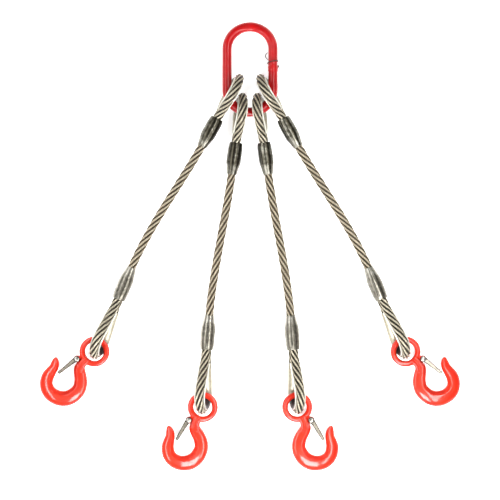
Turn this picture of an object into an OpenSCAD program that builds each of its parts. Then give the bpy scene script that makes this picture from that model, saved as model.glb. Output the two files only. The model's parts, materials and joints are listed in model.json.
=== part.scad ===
// Four-leg wire rope sling, lying flat: a master link, four wire rope legs with
// thimble eyes, and a latched eye hook on each leg.
// Millimetres. +X right, +Y towards the master link, +Z up from the floor.
// The left legs are modelled, and the right legs are their mirror images.

/* [Rope] */
// Nominal diameter of the wire rope
rope_d = 16; // [15.5:0.1:16.2]
// Half the distance between the two strands of an eye at its sleeve
throat_half = 5.8; // [5.7:0.1:6]

/* [Master link] */
// Diameter of the link's bar
link_bar_d = 18; // [16:0.5:18.5]
// Clear width inside the link
link_inner_w = 67.6; // [66:0.2:70]
// Clear length inside the link
link_inner_len = 145; // [144.5:0.1:145.5]
// Angle at which the link leans up from the floor onto the legs
link_tilt = 12; // [11.8:0.1:12.2]

/* [Thimbles and eyes] */
// Radius of the thimble's crown, measured on its bearing face
crown_r = 20; // [19.5:0.5:20.5]
// Thickness of the thimble's sheet
thimble_t = 2.5; // [2:0.1:3]
// Angle that the thimble reaches up each side of the rope
thimble_wrap = 60; // [60, 90]
// Upper eye, from the sleeve's end to the crown's tip
upper_eye_len = 94; // [93:0.5:96]
// Lower eye, from the sleeve's end to the crown's tip
lower_eye_len = 121; // [118:1:124]
// Lean of each upper eye about its leg's own line
upper_twist = 7; // [6.5:0.5:7.5]
// Lean of each lower eye about its leg's own line
lower_twist = 13; // [12:0.5:14]

/* [Sleeves] */
// Length of the upper sleeve
upper_ferrule_len = 60; // [56:1:64]
// Length of the lower sleeve
lower_ferrule_len = 64; // [58:1:66]
// Greatest diameter of a sleeve
ferrule_d = 27; // [26:0.5:29]

/* [Hook] */
// Clear diameter of the hook's eye
hook_eye_hole_d = 34.4; // [33:0.2:36]
// Diameter of the bar round the hook's eye
hook_eye_bar_d = 11.2; // [10:0.2:12]
// Lean of the hook from its eye down to its bowl on the floor
hook_tilt = 5.8; // [5.6:0.1:6]

/* [Latch] */
// Diameter of the latch's pin
latch_pin_d = 5; // [4:0.5:5]
// Thickness of the latch's sheet
latch_sheet = 1.6; // [1.2:0.1:1.8]
// Length of the latch from its pin to its free end
latch_len = 44; // [42:0.5:44]

/* [Hidden] */
sides = ["left", "right"];
legs = ["outer", "inner"];
pieces = [
    "rope_upper_eye", "rope_span", "rope_lower_eye", "upper_thimble", "lower_thimble",
    "upper_ferrule", "lower_ferrule", "hook", "latch", "latch_pin", "latch_spring"
];

fine = 48;                          // facets of a previewed circle
fit = 0.2;                          // gap between pieces that lie against each other
running = 0.05;                     // radial clearance of a pin in its hole
rope_r = rope_d / 2;
half_rope_r = 5.6;                  // radius of an eye's strand where it enters the sleeve
swell_y = 24;                       // height above the sleeve where that strand has become the full rope
eye_sides = 12;                     // sides of the rope's tube in an eye
side_rings = 5;                     // rings on each side of an eye
crown_rings = 12;                   // steps round an eye's crown
upper_lean = 28;                    // angle at which an eye's side meets its crown
lower_lean = 16;
upper_thimble_start = 14;           // the thimbles' cut ends, from the sleeve
lower_thimble_start = 22;

// The leg's line runs at this height, so that each eye's lower edge meets the floor.
eye_line_r = crown_r + thimble_t + fit + rope_r;    // crown radius on the rope's centre line
leg_z = eye_line_r * cos(upper_twist) + rope_r;

// Route of each left leg's free rope: the control points of a cubic curve in the floor plane.
// It starts at the upper sleeve's narrow end and stops at the lower sleeve's narrow end.
outer_route = [[-90, 185.4], [-132, 111.5], [-186, 39], [-220, -40]];
inner_route = [[-34, 133.5], [-46, 45], [-68.5, -42], [-75.5, -129]];
// Headings of the two sleeves, in degrees away from straight down the sling.
outer_headings = [29, 23];
inner_headings = [8, 4.5];
span_rings = 9;                     // rings of the free rope's tube
span_inside = 44;                   // how far the free rope runs into each sleeve
rope_sides = 12;                    // sides of the free rope's tube

// The master link's two arcs are centred on its line of symmetry.
link_bar_r = link_bar_d / 2;
link_arc_r = link_inner_w / 2 + link_bar_r;
link_straight = link_inner_len - link_inner_w;
link_top_y = 366;                   // centre of the far arc
weld_drop = 31;                     // weld's distance from the far arc's centre
weld_len = 12;
weld_swell = 0.9;
weld_slope = 0.3;                   // share of the weld's length over which it rises

// Tie wire on the right bar: a loose loop on the inner side, one and a half turns, and a short tail.
// Distances along the bar are from the far arc's centre, and angles go round the bar from its
// outer side over its top.
wire_r = 0.9;
wire_sides = 8;
wire_loop_steps = 10;
wire_turn_steps = 30;
wire_tail_steps = 4;
wire_at = [7, 19, 31, 39];          // start of the loop, of the turns and of the tail, and the end
wire_angle = [165, 195, 720, 730];  // angles at those places
wire_loop = 4;                      // how far the loop stands off the bar
wire_lift = 1.6;                    // how far the tail's end does

// Sleeve: shares of its length where its mouth's cone ends and its taper starts, steepens and ends.
sleeve_cone = 0.3;
sleeve_taper = 0.62;
sleeve_steep = 0.74;
sleeve_lip = 0.94;
sleeve_drop = 1.6;                  // how much smaller its radius is at the mouth and where it steepens
sleeve_bevel = 1;
lip_wall = 1;
lip_swell = 0.4;

// Hook: distances are from the eye's centre, down towards the bowl and across towards the tip.
hook_eye_r = (hook_eye_hole_d + hook_eye_bar_d) / 2;
hook_reach = 107;                   // eye's centre from the lower sleeve's end
hook_aside = [3, -1];               // how far the outer and inner hooks lie outwards of their legs' lines
hook_eye_z = 24.4;                  // height of the eye's centre
hook_turn = [22, 20];               // how far the outer and inner hooks turn outwards from their legs
// Stations of the hook's body: down, across, half width in the hook's plane, half thickness.
hook_stations = [
    [24, 1, 8.5, 6.0],
    [33.5, 0.5, 8.6, 7.4],
    [43.5, -3.5, 10.6, 9.0],
    [56.5, -20, 12.4, 10.4],
    [69, -28.5, 13, 11.4],
    [82, -30, 13.8, 12],
    [95, -27, 14.2, 12],
    [106, -18.5, 14.4, 12],
    [113, -4.5, 13.8, 12],
    [113, 10, 13, 11.6],
    [106.5, 21.5, 12.2, 11],
    [95.5, 28.5, 11.8, 10],
    [84.5, 31, 10.4, 9],
    [75, 32.8, 8.8, 8],
    [67, 37, 7.6, 6.8],
    [61, 42, 4.6, 4.8],
    [58.5, 44.2, 1.4, 1.6]
];
hook_between = 2;                   // sections drawn for each gap between two stations
hook_sides = 16;
hook_squareness = 2.5;              // 2 is an ellipse, more is a boxier section

// Latch: the pin's place on the hook, and the latch's own outline.
latch_down = 32.4;
latch_across = 13.8;
latch_lean = 5;                     // closed latch, away from the hook's own line towards the tip
boss_r = 6.2;
boss_half = 3.2;
coil_wire = 1;
coil_turns = 3;
coil_r = 3.5;
coil_slack = 0.4;
ear_gap = boss_half + fit + coil_turns * coil_wire + coil_slack;    // inner face of the latch's ears
ear_r = 5.6;
latch_tip_h = 4.4;                  // depth of the latch's free end
latch_depth = 9;                    // depth of the latch beside its pin
web_start = 13;                     // the back plate starts here, clear of the boss
latch_neck = 0.62;                  // share of the ear's radius where the sides leave it
latch_edge = 3;                     // the side's edge towards the bowl, where the back plate starts
latch_tip = 2;                      // length and slant of the free end's corner
head_r = 4.6;                       // pin's domed heads
head_h = 1.6;
head_dome_r = 7.4;
ear_room_r = ear_r + 1.2;           // space cut in the hook for the latch's ears
through = 30;                       // more than half the length of any hole through the hook

function heading_dir(h) = [-sin(h), -cos(h)];
function lerp(a, b, t) = a + (b - a) * t;
function flat3(p, z) = [p[0], p[1], z];

// Point on a cubic curve through its control points c.
function cubic(c, t) =
    c[0] * pow(1 - t, 3) + c[1] * 3 * t * pow(1 - t, 2)
    + c[2] * 3 * t * t * (1 - t) + c[3] * pow(t, 3);

// Catmull-Rom point between stations i and i + 1 of list p.
function spline(p, i, t) =
    let (
        last = len(p) - 1,
        a = p[max(i - 1, 0)],
        b = p[i],
        c = p[min(i + 1, last)],
        d = p[min(i + 2, last)]
    )
    0.5 * (2 * b + (c - a) * t + (2 * a - 5 * b + 4 * c - d) * t * t
        + (3 * b - a - 3 * c + d) * t * t * t);

function unit(v) = v / norm(v);

// Faces of a closed tube of rings, each ring having n points. Where a ring folds back on itself,
// as a channel's does, its ends are closed by a strip of faces.
function tube_faces(rings, n, folded = false) =
    let (last = (rings - 1) * n)
    concat(
        [for (i = [0 : rings - 2], k = [0 : n - 1])
            let (a = i * n + k, b = i * n + (k + 1) % n)
            [a, a + n, b + n, b]],
        folded ? [for (k = [0 : n / 2 - 2]) [k, k + 1, n - 2 - k, n - 1 - k]] : [[for (k = [0 : n - 1]) k]],
        folded ? [for (k = [0 : n / 2 - 2]) [last + n - 1 - k, last + n - 2 - k, last + k + 1, last + k]]
               : [[for (k = [n - 1 : -1 : 0]) last + k]]
    );

// Direction of a path at its point i.
function along(path, i) = unit(path[min(i + 1, len(path) - 1)] - path[max(i - 1, 0)]);

// A round tube along a path. Its rings keep one side near the direction that ups gives for them.
module sweep(path, r, n, ups) {
    points = [for (i = [0 : len(path) - 1])
        let (t = along(path, i), x = unit(cross(ups[i], t)), y = cross(t, x))
        for (k = [0 : n - 1])
            let (a = 360 * k / n)
            path[i] + r * (x * cos(a) + y * sin(a))];
    polyhedron(points, tube_faces(len(path), n), convexity = 4);
}

// Moves children from a leg's own frame to the sling. The frame's +Y runs along the heading's
// opposite, towards the master link, and its origin is the point at.
module on_leg(at, heading) {
    translate([at[0], at[1], leg_z]) rotate([0, 0, -heading]) children();
}

// ---- Master link ----

module half_turn(r) {
    rotate_extrude(angle = 180, $fn = fine * 2) translate([link_arc_r, 0]) circle(r = r, $fn = fine);
}

// Places children in the link's own plane, with the far arc's centre at the origin.
module link_frame() {
    translate([0, link_top_y + link_arc_r, link_bar_r])
        rotate([-link_tilt, 0, 0]) translate([0, -link_arc_r, 0]) children();
}

module weld() {
    r = link_bar_r + weld_swell;
    rotate([90, 0, 0]) rotate_extrude($fn = fine) polygon([
        [0, 0], [link_bar_r, 0], [r, weld_len * weld_slope], [r, weld_len * (1 - weld_slope)],
        [link_bar_r, weld_len], [0, weld_len]
    ]);
}

module master_link() {
    color("firebrick") link_frame() {
        half_turn(link_bar_r);
        translate([0, -link_straight, 0]) rotate([0, 0, 180]) half_turn(link_bar_r);
        for (x = [-link_arc_r, link_arc_r])
            translate([x, 0, 0]) rotate([90, 0, 0]) cylinder(r = link_bar_r, h = link_straight, $fn = fine);
        translate([link_arc_r, -weld_drop, 0]) weld();
    }
}

// Angle round the right bar, distance along it and height off it, in each of the wire's stretches.
function wire_stretch(k, steps, lift) = [
    for (i = [0 : steps - 1])
        let (t = i / steps)
        [lerp(wire_angle[k], wire_angle[k + 1], t), lerp(wire_at[k], wire_at[k + 1], t), lift(t)]
];

module tie_wire() {
    winding = concat(
        wire_stretch(0, wire_loop_steps, function(t) wire_loop * sin(180 * t)),
        wire_stretch(1, wire_turn_steps, function(t) 0),
        wire_stretch(2, wire_tail_steps, function(t) wire_lift * sin(90 * t))
    );
    ups = [for (w = winding) [cos(w[0]), 0, sin(w[0])]];
    path = [for (i = [0 : len(winding) - 1])
        let (w = winding[i])
        [link_arc_r, -w[1], 0] + ups[i] * (link_bar_r + wire_r + fit + w[2])];
    color("dimgray") link_frame() sweep(path, wire_r, wire_sides, ups);
}

// ---- Eyes ----
// An eye lies in its own plane: +Y from the sleeve's end to the crown, +X across the loop.

function crown_y(eye_len) = eye_len - eye_line_r - rope_r;

// One side of an eye's line: a cubic curve from the sleeve, straight out, to the crown's arc.
function eye_side(eye_len, lean) =
    let (
        foot = [throat_half, 0],
        meet = [eye_line_r * cos(lean), crown_y(eye_len) - eye_line_r * sin(lean)],
        pull = norm(meet - foot) / 3
    )
    [foot, foot + [0, pull], meet - pull * [sin(lean), cos(lean)], meet];

// The whole line, up one side, round the crown and down the other, in the plane z = 0.
function eye_line(eye_len, lean) =
    let (
        side = [for (i = [0 : side_rings - 1]) cubic(eye_side(eye_len, lean), i / side_rings)],
        arc = [for (i = [0 : crown_rings])
            let (a = -lean + (180 + 2 * lean) * i / crown_rings)
            [eye_line_r * cos(a), crown_y(eye_len) + eye_line_r * sin(a)]]
    )
    concat(
        [for (q = side) flat3(q, 0)],
        [for (q = arc) flat3(q, 0)],
        [for (i = [side_rings - 1 : -1 : 0]) [-side[i][0], side[i][1], 0]]
    );

// The rope's radius in an eye: half the strands at the sleeve, all of them from swell_y on.
function eye_rope_r(y) = lerp(half_rope_r, rope_r, min(1, y / swell_y));

// Puts an eye's own plane upright on its leg, leaning by its twist. way is 1 for an upper eye,
// whose crown points back along the leg, and -1 for a lower one.
module eye_frame(way) {
    rotate([0, 0, way > 0 ? 0 : 180])
        rotate([0, 90 + (way > 0 ? upper_twist : lower_twist), 0]) children();
}

// A ring of points round path[i], given in the section's own plane: outwards from the loop, then -Z.
function eye_ring(path, i, outline) =
    let (t = i == 0 ? [0, 1, 0] : i == len(path) - 1 ? [0, -1, 0] : along(path, i), out = cross(t, [0, 0, 1]))
    [for (q = outline) path[i] + out * q[0] - [0, 0, q[1]]];

function rope_outline(r) = [
    for (k = [0 : eye_sides - 1])
        let (a = 360 * k / eye_sides)
        r * [cos(a), sin(a)]
];

module rope_eye(eye_len, lean, way) {
    path = eye_line(eye_len, lean);
    points = [for (i = [0 : len(path) - 1], q = eye_ring(path, i, rope_outline(eye_rope_r(path[i][1])))) q];
    color("rosybrown") eye_frame(way) polyhedron(points, tube_faces(len(path), eye_sides), convexity = 8);
}

// Section of the thimble on a rope of radius r: a trough round the rope's inner side, whose corners
// stand over the corners of the rope's own section.
function thimble_outline(r) =
    let (
        inner = r + fit,
        outer = inner + thimble_t,
        corner = 360 / eye_sides,
        angles = [180 - thimble_wrap : corner : 180 + thimble_wrap]
    )
    concat(
        [for (a = angles) outer * [cos(a), sin(a)]],
        [for (a = angles) inner * [cos(-a), sin(-a)]]
    );

module thimble(eye_len, lean, start, way) {
    path = eye_line(eye_len, lean);
    rings = [for (i = [0 : len(path) - 1])
        if (path[i][1] >= start) eye_ring(path, i, thimble_outline(eye_rope_r(path[i][1])))];
    points = [for (ring = rings, q = ring) q];
    color("gainsboro") eye_frame(way)
        polyhedron(points, tube_faces(len(rings), len(rings[0]), folded = true), convexity = 8);
}

// ---- Sleeves ----

// A sleeve on its leg's line, from its flat end at the origin to its tapered end at +Y.
module ferrule(len) {
    full_r = ferrule_d / 2;
    mouth_r = full_r - sleeve_drop;
    lip_r = rope_r + lip_wall;
    bore_r = rope_r + running;
    bore_end = len - span_inside - running;
    color("slategray") rotate([-90, 0, 0]) rotate_extrude($fn = fine) polygon([
        [0, 0], [mouth_r - sleeve_bevel, 0], [mouth_r, sleeve_bevel],
        [full_r, len * sleeve_cone], [full_r, len * sleeve_taper],
        [full_r - sleeve_drop, len * sleeve_steep], [lip_r + lip_swell, len * sleeve_lip], [lip_r, len],
        [bore_r, len], [bore_r, bore_end], [0, bore_end]
    ]);
}

// ---- One leg ----

function route(leg) = leg == "outer" ? outer_route : inner_route;
function headings(leg) = leg == "outer" ? outer_headings : inner_headings;
// Flat ends of the two sleeves, where the eyes start.
function upper_mouth(leg) = route(leg)[0] - heading_dir(headings(leg)[0]) * upper_ferrule_len;
function lower_mouth(leg) = route(leg)[3] + heading_dir(headings(leg)[1]) * lower_ferrule_len;
function span_path(leg) = [
    flat3(route(leg)[0] - heading_dir(headings(leg)[0]) * span_inside, leg_z),
    for (i = [0 : span_rings - 1]) flat3(cubic(route(leg), i / (span_rings - 1)), leg_z),
    flat3(route(leg)[3] + heading_dir(headings(leg)[1]) * span_inside, leg_z)
];

module rope_span(leg) {
    path = span_path(leg);
    color("rosybrown") sweep(path, rope_r - running, rope_sides, [for (p = path) [0, 0, 1]]);
}

module upper_frame(leg) {
    on_leg(upper_mouth(leg), headings(leg)[0]) children();
}

module lower_frame(leg) {
    on_leg(lower_mouth(leg), headings(leg)[1]) children();
}

// Moves children into the hook's own frame: -Y from the eye to the bowl, -X towards the tip.
module hook_frame(leg) {
    which = leg == "outer" ? 0 : 1;
    h = headings(leg)[1];
    at = lower_mouth(leg) + heading_dir(h) * hook_reach + heading_dir(h + 90) * hook_aside[which];
    translate([at[0], at[1], hook_eye_z]) rotate([0, 0, -h - hook_turn[which]])
        rotate([hook_tilt, 0, 0]) children();
}

// ---- Hook ----

// Half a section's boxy ellipse at angle a, as a point of the unit section.
function boxy(a) =
    let (c = cos(a), s = sin(a), e = 2 / hook_squareness)
    [sign(c) * pow(abs(c), e), sign(s) * pow(abs(s), e)];

function hook_sections() = [
    for (i = [0 : len(hook_stations) - 2], k = [0 : hook_between - 1])
        spline(hook_stations, i, k / hook_between),
    hook_stations[len(hook_stations) - 1]
];

module hook_body() {
    s = hook_sections();
    line = [for (p = s) [-p[1], -p[0], 0]];
    points = [for (i = [0 : len(s) - 1])
        let (t = along(line, i), x = cross(t, [0, 0, 1]))
        for (k = [0 : hook_sides - 1])
            let (q = boxy(360 * k / hook_sides))
            line[i] + x * s[i][2] * q[0] - [0, 0, s[i][3] * q[1]]];
    polyhedron(points, tube_faces(len(s), hook_sides), convexity = 6);
}

// Places children on the latch pin's centre, in the hook's frame.
module latch_place() {
    translate([-latch_across, -latch_down, 0]) children();
}

module hook() {
    color("orangered") difference() {
        union() {
            rotate_extrude($fn = fine * 2) translate([hook_eye_r, 0])
                circle(d = hook_eye_bar_d, $fn = fine);
            hook_body();
            latch_place() cylinder(r = boss_r, h = 2 * boss_half, center = true, $fn = fine);
        }
        latch_place() ear_room();
        latch_place() pin_hole();
    }
}

module pin_hole() {
    cylinder(d = latch_pin_d + 2 * running, h = 2 * through, center = true, $fn = fine);
}

// Space that the latch's ears and coils sweep on both sides of the boss.
module ear_room() {
    for (z = [boss_half, -boss_half - through])
        translate([0, 0, z]) cylinder(r = ear_room_r, h = through, $fn = fine);
}

// ---- Latch ----

// Moves children to the closed latch: origin on the pin, -Y along the latch, +X to the bowl.
module latch_frame() {
    latch_place() rotate([0, 0, -latch_lean]) children();
}

module latch_side() {
    circle(r = ear_r, $fn = fine);
    polygon([
        [-ear_r * latch_neck, 0], [ear_r * latch_neck, 0], [latch_edge, -web_start],
        [latch_edge - latch_sheet, latch_tip - latch_len], [0, -latch_len],
        [-latch_tip_h, -latch_len], [-latch_tip_h - latch_sheet / 2, -web_start], [-ear_r, -latch_tip]
    ]);
}

module latch() {
    half = ear_gap + latch_sheet;
    color("silver") difference() {
        union() {
            for (z = [ear_gap, -half])
                translate([0, 0, z]) linear_extrude(latch_sheet) latch_side();
            intersection() {
                translate([0, 0, -half]) linear_extrude(2 * half) latch_side();
                translate([-latch_depth, -latch_len - 1, -half])
                    cube([latch_depth - latch_tip_h + latch_sheet, latch_len + 1 - web_start, 2 * half]);
            }
        }
        pin_hole();
    }
}

module latch_pin() {
    half = ear_gap + latch_sheet + fit;
    color("silver") rotate_extrude($fn = fine) {
        translate([0, -half]) square([latch_pin_d / 2, 2 * half]);
        for (way = [-1, 1])
            scale([1, way]) translate([0, half]) intersection() {
                translate([0, head_h - head_dome_r]) circle(r = head_dome_r, $fn = fine);
                square([head_r, head_h]);
            }
    }
}

// Two closed coils, one on each side of the boss. Each turn is drawn as a ring.
module latch_spring() {
    color("gray") for (way = [-1, 1], turn = [0 : coil_turns - 1])
        translate([0, 0, way * (boss_half + fit + coil_wire / 2 + turn * (coil_wire + running))])
            rotate_extrude($fn = fine) translate([coil_r, 0]) circle(d = coil_wire, $fn = 24);
}

// ---- Drawing ----

module leg_piece(leg, piece) {
    if (piece == "rope_upper_eye") upper_frame(leg) rope_eye(upper_eye_len, upper_lean, 1);
    if (piece == "upper_thimble")
        upper_frame(leg) thimble(upper_eye_len, upper_lean, upper_thimble_start, 1);
    if (piece == "upper_ferrule") upper_frame(leg) rotate([0, 0, 180]) ferrule(upper_ferrule_len);
    if (piece == "rope_span") rope_span(leg);
    if (piece == "lower_ferrule") lower_frame(leg) ferrule(lower_ferrule_len);
    if (piece == "rope_lower_eye") lower_frame(leg) rope_eye(lower_eye_len, lower_lean, -1);
    if (piece == "lower_thimble")
        lower_frame(leg) thimble(lower_eye_len, lower_lean, lower_thimble_start, -1);
    if (piece == "hook") hook_frame(leg) hook();
    if (piece == "latch") hook_frame(leg) latch_frame() latch();
    if (piece == "latch_pin") hook_frame(leg) latch_place() latch_pin();
    if (piece == "latch_spring") hook_frame(leg) latch_place() latch_spring();
}

master_link();
tie_wire();
for (mirrored = [0, 1], leg = legs, piece = pieces)
    mirror([mirrored, 0, 0]) leg_piece(leg, piece);
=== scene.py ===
"""Looks of the four-leg wire rope sling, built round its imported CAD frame.

Metres, +X right, +Y towards the master link, +Z up from the floor. Every piece of a left leg is worked
out in the sling's own frame, and the right leg's piece is its mirror image.
"""

import json
import math

import bmesh
import bpy
import numpy as np
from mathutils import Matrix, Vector


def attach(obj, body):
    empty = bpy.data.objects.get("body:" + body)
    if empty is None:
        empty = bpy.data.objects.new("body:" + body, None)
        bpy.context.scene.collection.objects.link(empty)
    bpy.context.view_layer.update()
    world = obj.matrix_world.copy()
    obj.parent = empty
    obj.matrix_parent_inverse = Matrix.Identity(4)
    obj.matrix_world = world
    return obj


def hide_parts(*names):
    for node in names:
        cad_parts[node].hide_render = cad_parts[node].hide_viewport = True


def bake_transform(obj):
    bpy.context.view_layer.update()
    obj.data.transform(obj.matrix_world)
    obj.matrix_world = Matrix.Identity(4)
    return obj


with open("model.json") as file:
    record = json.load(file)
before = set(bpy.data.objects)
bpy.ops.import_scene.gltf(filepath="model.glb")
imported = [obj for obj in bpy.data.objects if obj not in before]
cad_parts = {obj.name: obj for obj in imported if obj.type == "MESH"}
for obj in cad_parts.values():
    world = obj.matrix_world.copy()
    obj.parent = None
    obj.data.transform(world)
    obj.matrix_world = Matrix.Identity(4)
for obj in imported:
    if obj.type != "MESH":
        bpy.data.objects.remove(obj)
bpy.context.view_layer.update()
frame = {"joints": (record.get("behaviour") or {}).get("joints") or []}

MM = 0.001
SIDES = ("left", "right")
LEGS = ("outer", "inner")
UP = np.array([0.0, 0.0, 1.0])

# ---- Driving dimensions, as in the part's source ----

ROPE_R = 8 * MM
THROAT_HALF = 5.8 * MM
LINK_BAR_R = 9 * MM
LINK_INNER_W = 67.6 * MM
LINK_INNER_LEN = 145 * MM
LINK_TILT = math.radians(12)
LINK_TOP_Y = 366 * MM
CROWN_R = 20 * MM
THIMBLE_T = 2.5 * MM
THIMBLE_WRAP = {"upper": 65, "lower": 72}    # more than the part's, so that the rims show beside the rope
EYE_TWIST = {"upper": math.radians(7), "lower": math.radians(13)}
EYE_LEN = {"upper": 94 * MM, "lower": 121 * MM}
EYE_LEAN = {"upper": math.radians(28), "lower": math.radians(16)}
THIMBLE_START = {"upper": 14 * MM, "lower": 22 * MM}
FERRULE_LEN = {"upper": 60 * MM, "lower": 64 * MM}
FERRULE_R = 13.5 * MM
FIT = 0.2 * MM
HALF_ROPE_R = 5.6 * MM
SWELL_Y = 24 * MM
ROUTE = {
    "outer": np.array([[-90, 185.4], [-132, 111.5], [-186, 39], [-220, -40]]) * MM,
    "inner": np.array([[-34, 133.5], [-46, 45], [-68.5, -42], [-75.5, -129]]) * MM,
}
HEADINGS = {"outer": (29, 23), "inner": (8, 4.5)}

EYE_LINE_R = CROWN_R + THIMBLE_T + FIT + ROPE_R
LEG_Z = EYE_LINE_R * math.cos(EYE_TWIST["upper"]) + ROPE_R

# Hook stations: down, across, half width and half thickness, in millimetres from the eye's centre.
HOOK_EYE_R = 22.8 * MM
HOOK_BAR_R = 5.6 * MM
HOOK_STATIONS = np.array([
    [24, 1, 8.5, 6.0], [33.5, 0.5, 8.6, 7.4], [43.5, -3.5, 10.6, 9.0], [56.5, -20, 12.4, 10.4],
    [69, -28.5, 13, 11.4], [82, -30, 13.8, 12], [95, -27, 14.2, 12], [106, -18.5, 14.4, 12],
    [113, -4.5, 13.8, 12], [113, 10, 13, 11.6], [106.5, 21.5, 12.2, 11], [95.5, 28.5, 11.8, 10],
    [84.5, 31, 10.4, 9], [75, 32.8, 8.8, 8], [67, 37, 7.6, 6.8], [61, 42, 4.6, 4.8],
    [58.5, 44.2, 1.4, 1.6],
]) * MM
LATCH_DOWN = 32.4 * MM
LATCH_ACROSS = 13.8 * MM
LATCH_LEN = 44 * MM
LATCH_LEAN = math.radians(5)
LATCH_SHEET = 1.6 * MM
LATCH_EAR_R = 5.6 * MM
LATCH_EAR_GAP = 6.8 * MM
LATCH_WEB_START = 13 * MM
LATCH_TIP_H = 4.4 * MM
LATCH_EDGE = 3 * MM                 # the side's edge towards the bowl, where the back plate starts
LATCH_NECK = 0.62                   # share of the ear's radius where the sides leave it
LATCH_CORNER = 2 * MM               # slant of the free end's corner
BOSS_R = 6.2 * MM
BOSS_HALF = 3.2 * MM
EAR_ROOM_R = 6.8 * MM
PIN_R = 2.5 * MM
COIL_R = 3.5 * MM
COIL_WIRE_R = 0.5 * MM


# ---- Camera: straight above the sling, as in a catalogue picture ----

FRAME_W = 930 * MM                  # width of the view at the height of the ropes
VIEW_Y = -7.1 * MM                  # the view's centre is a little below the origin
LENS = 500
SENSOR = 36


def add_camera():
    data = bpy.data.cameras.new("camera")
    data.lens = LENS
    data.sensor_width = SENSOR
    camera = bpy.data.objects.new("camera", data)
    bpy.context.scene.collection.objects.link(camera)
    camera.location = (0, VIEW_Y, LEG_Z + FRAME_W * LENS / SENSOR)
    data.clip_end = 100
    bpy.context.scene.camera = camera


add_camera()

# ---- Small helpers ----


def unit(v):
    v = np.asarray(v, float)
    return v / np.linalg.norm(v, axis=-1, keepdims=True)


def heading_dir(degrees):
    a = math.radians(degrees)
    return np.array([-math.sin(a), -math.cos(a)])


def turn(axis, angle):
    """Rotation matrix about X, Y or Z."""
    c, s = math.cos(angle), math.sin(angle)
    i, j = {"x": (1, 2), "y": (2, 0), "z": (0, 1)}[axis]
    m = np.eye(3)
    m[i, i] = m[j, j] = c
    m[i, j], m[j, i] = -s, s
    return m


def cubic(c, t):
    """Points on a cubic curve through its control points c, at the parameters t."""
    t = np.asarray(t, float)[:, None]
    return c[0] * (1 - t) ** 3 + c[1] * 3 * t * (1 - t) ** 2 + c[2] * 3 * t * t * (1 - t) + c[3] * t ** 3


def spline(points, steps):
    """Catmull-Rom curve through the points, with steps samples to each gap."""
    padded = np.vstack([points[:1], points, points[-1:]])
    t = (np.arange(steps) / steps)[:, None]
    out = []
    for a, b, c, d in zip(padded, padded[1:], padded[2:], padded[3:]):
        out.append(0.5 * (2 * b + (c - a) * t + (2 * a - 5 * b + 4 * c - d) * t ** 2
                          + (3 * b - a - 3 * c + d) * t ** 3))
    return np.vstack([*out, points[-1:]])


def along(path):
    """Directions of a path at its points."""
    return unit(np.gradient(path, axis=0))


def run_length(path):
    return np.concatenate([[0], np.cumsum(np.linalg.norm(np.diff(path, axis=0), axis=1))])


def even(path, step):
    """The same path with its points step apart, or a little less."""
    s = run_length(path)
    n = max(2, int(math.ceil(s[-1] / step)) + 1)
    at = np.linspace(0, s[-1], n)
    return np.stack([np.interp(at, s, path[:, i]) for i in range(path.shape[1])], axis=1)


def tube_faces(rings, n, base=0, folded=False):
    """Faces of a closed tube of rings of n points. A folded ring's ends are closed by strips."""
    i, k = np.meshgrid(np.arange(rings - 1), np.arange(n), indexing="ij")
    a, b = i * n + k, i * n + (k + 1) % n
    faces = (np.stack([a, a + n, b + n, b], axis=-1).reshape(-1, 4) + base).tolist()
    last = (rings - 1) * n + base
    if folded:
        half = range(n // 2 - 1)
        faces += [[base + k, base + k + 1, base + n - 2 - k, base + n - 1 - k] for k in half]
        faces += [[last + n - 1 - k, last + n - 2 - k, last + k + 1, last + k] for k in half]
    else:
        faces += [[base + k for k in range(n)], [last + k for k in range(n - 1, -1, -1)]]
    return faces


def loop_faces(rings, n):
    """Faces of a tube whose last ring joins its first."""
    i, k = np.meshgrid(np.arange(rings), np.arange(n), indexing="ij")
    a, b = i * n + k, i * n + (k + 1) % n
    j = (i + 1) % rings
    c, d = j * n + k, j * n + (k + 1) % n
    return np.stack([a, c, d, b], axis=-1).reshape(-1, 4).tolist()


def raw_mesh(name, points, faces):
    data = bpy.data.meshes.new(name)
    data.from_pydata(np.asarray(points, float).reshape(-1, 3).tolist(), [], faces)
    data.validate()
    data.update()
    return data


def outward(data):
    """Turns a closed mesh's faces outwards."""
    work = bmesh.new()
    work.from_mesh(data)
    bmesh.ops.recalc_face_normals(work, faces=work.faces)
    work.to_mesh(data)
    work.free()


def paint_points(data, name, values):
    """Keeps one number for each point, for a material to read."""
    layer = data.attributes.new(name, "FLOAT", "POINT")
    layer.data.foreach_set("value", np.asarray(values, np.float32))


def piece(name, points, faces, material, side="left", **point_values):
    """A smooth piece worked out for the left, or its mirror image for the right."""
    points = np.array(points, float).reshape(-1, 3)
    if side == "right":
        points[:, 0] *= -1
    data = raw_mesh(name, points, faces)
    outward(data)
    for key, values in point_values.items():
        paint_points(data, key, values)
    data.shade_smooth()
    data.materials.append(material)
    obj = bpy.data.objects.new(name, data)
    bpy.context.scene.collection.objects.link(obj)
    return obj


def place(obj, body, slot, *nodes):
    """The piece rides on its body and stands for its CAD nodes."""
    if body:
        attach(obj, body)
    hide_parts(*nodes)
    return obj


# ---- Materials ----


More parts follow.
